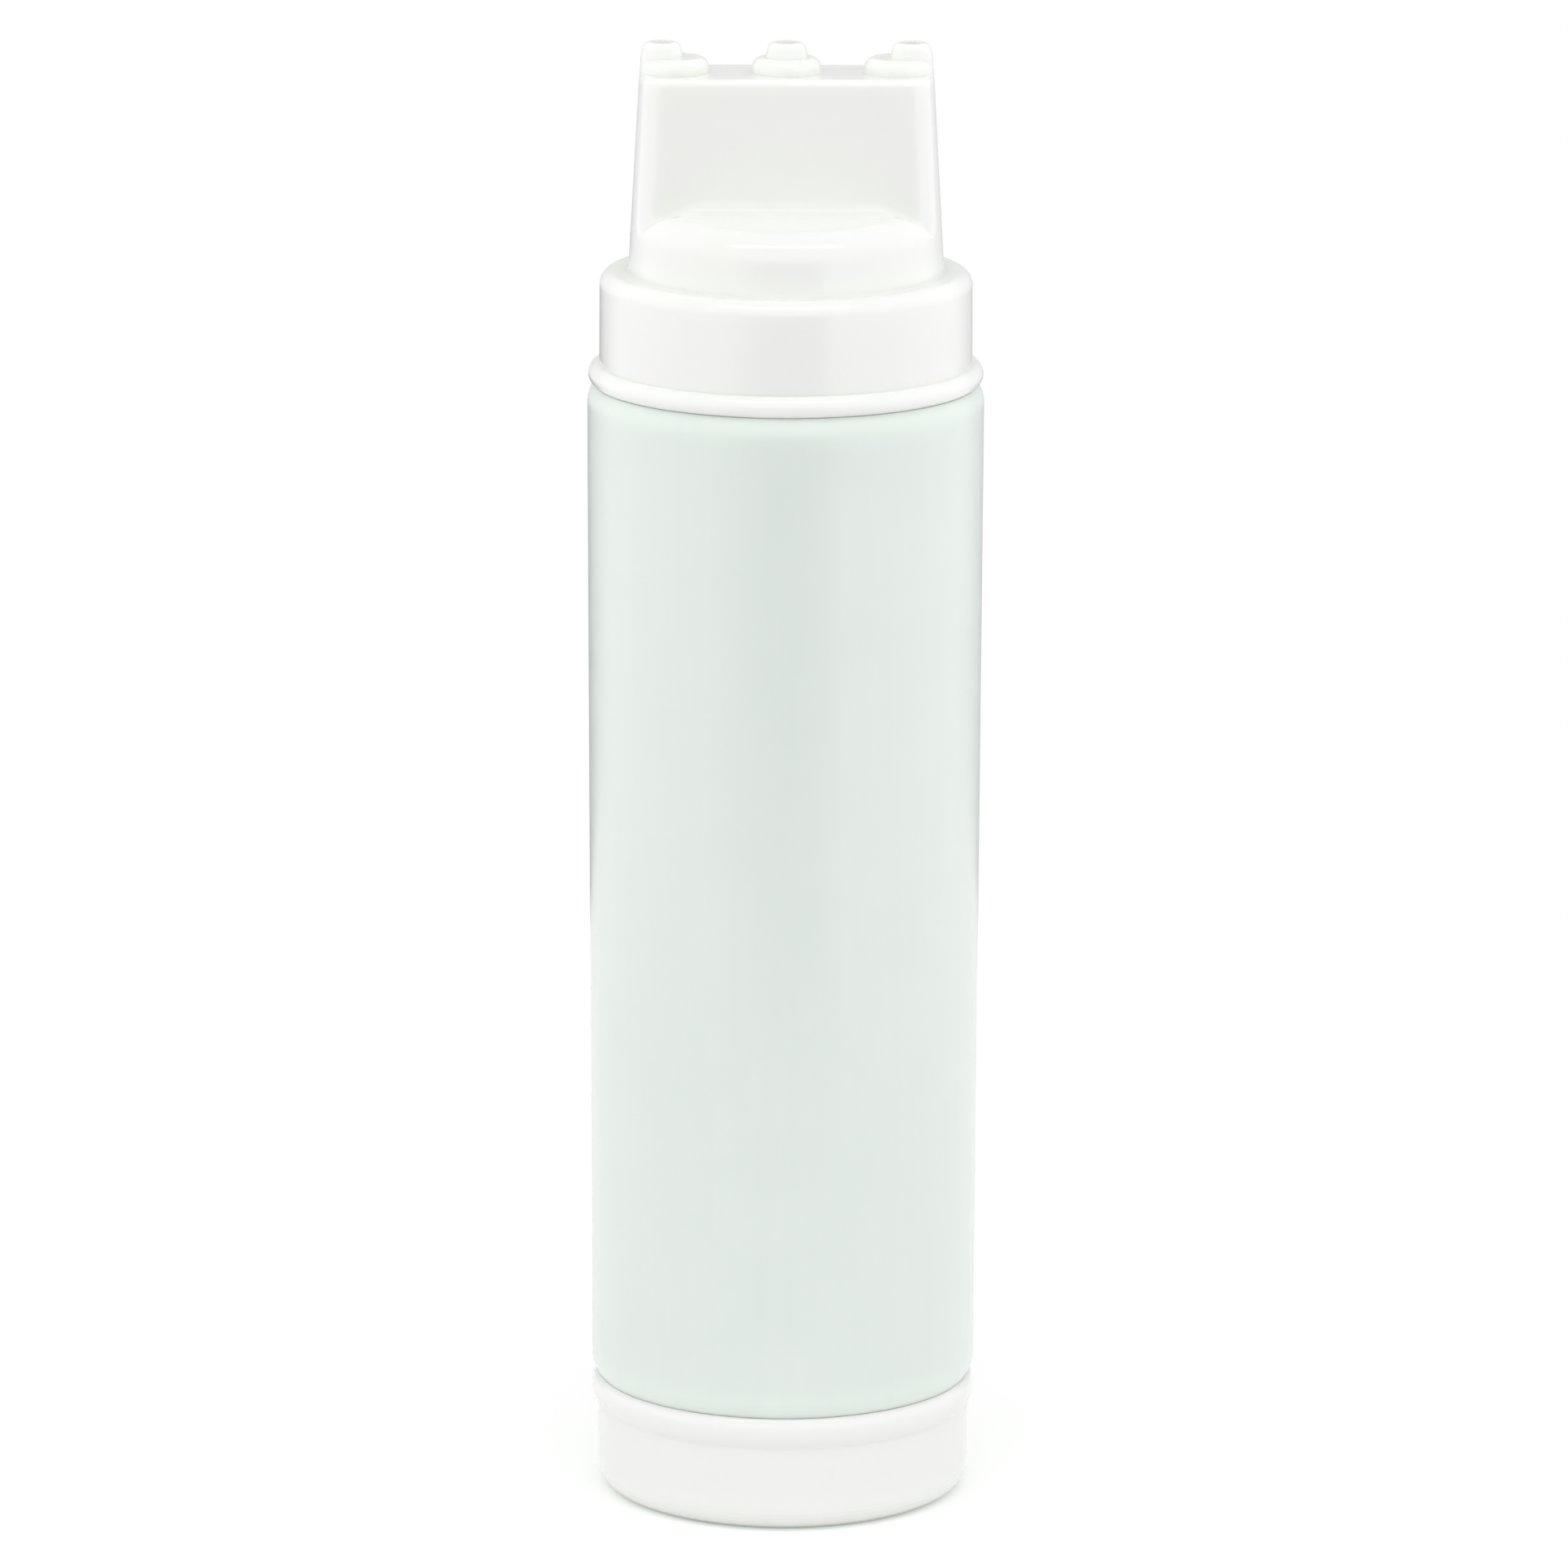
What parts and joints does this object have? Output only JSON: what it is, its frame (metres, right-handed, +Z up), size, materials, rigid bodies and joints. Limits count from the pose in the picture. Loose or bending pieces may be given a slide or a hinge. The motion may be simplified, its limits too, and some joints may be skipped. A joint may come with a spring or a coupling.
{
  "type": "squeeze bottle",
  "caption": "Straight squeeze bottle with a screw-on refill cap at its foot and a screw-on dispensing cap, whose flat hollow spout ends in a row of small tips.",
  "frame": {"origin": "centre of the refill cap's standing face, with the bottle upright", "axes": "+Z up along the bottle's axis towards the tips; -Y is the flat front of the spout; +X runs along the row of tips"},
  "size_m": [0.07, 0.07, 0.262],
  "materials": {
    "body_ldpe": "satin, translucent natural",
    "cap_ldpe": "satin, milky natural",
    "seal_silicone": "matte"
  },
  "bodies": {
    "bottle": {"bottle_body": "body_ldpe"},
    "top_seal_body": {"top_seal": "seal_silicone"},
    "top_cap_body": {"dispensing_cap": "cap_ldpe"},
    "foot_seal_body": {"foot_seal": "seal_silicone"},
    "foot_cap_body": {"refill_cap": "cap_ldpe"}
  },
  "joints": [
    {"name": "dispensing_cap_lift", "type": "slide", "parent": "bottle", "child": "top_seal_body", "axis": [0, 0, 1], "range_m": [0, 0.00625]},
    {"name": "dispensing_cap_turn", "type": "hinge", "parent": "top_seal_body", "child": "top_cap_body", "pos_m": [0, 0, 0.212], "axis": [0, 0, 1], "range_deg": [0, 450]},
    {"name": "refill_cap_lift", "type": "slide", "parent": "bottle", "child": "foot_seal_body", "axis": [0, 0, -1], "range_m": [0, 0.00625]},
    {"name": "refill_cap_turn", "type": "hinge", "parent": "foot_seal_body", "child": "foot_cap_body", "pos_m": [0, 0, 0.008], "axis": [0, 0, -1], "range_deg": [0, 450]}
  ],
  "couplings": [
    {"joint": "dispensing_cap_lift", "follows": "dispensing_cap_turn", "m_per_rad": 0.00079577},
    {"joint": "refill_cap_lift", "follows": "refill_cap_turn", "m_per_rad": 0.00079577}
  ]
}
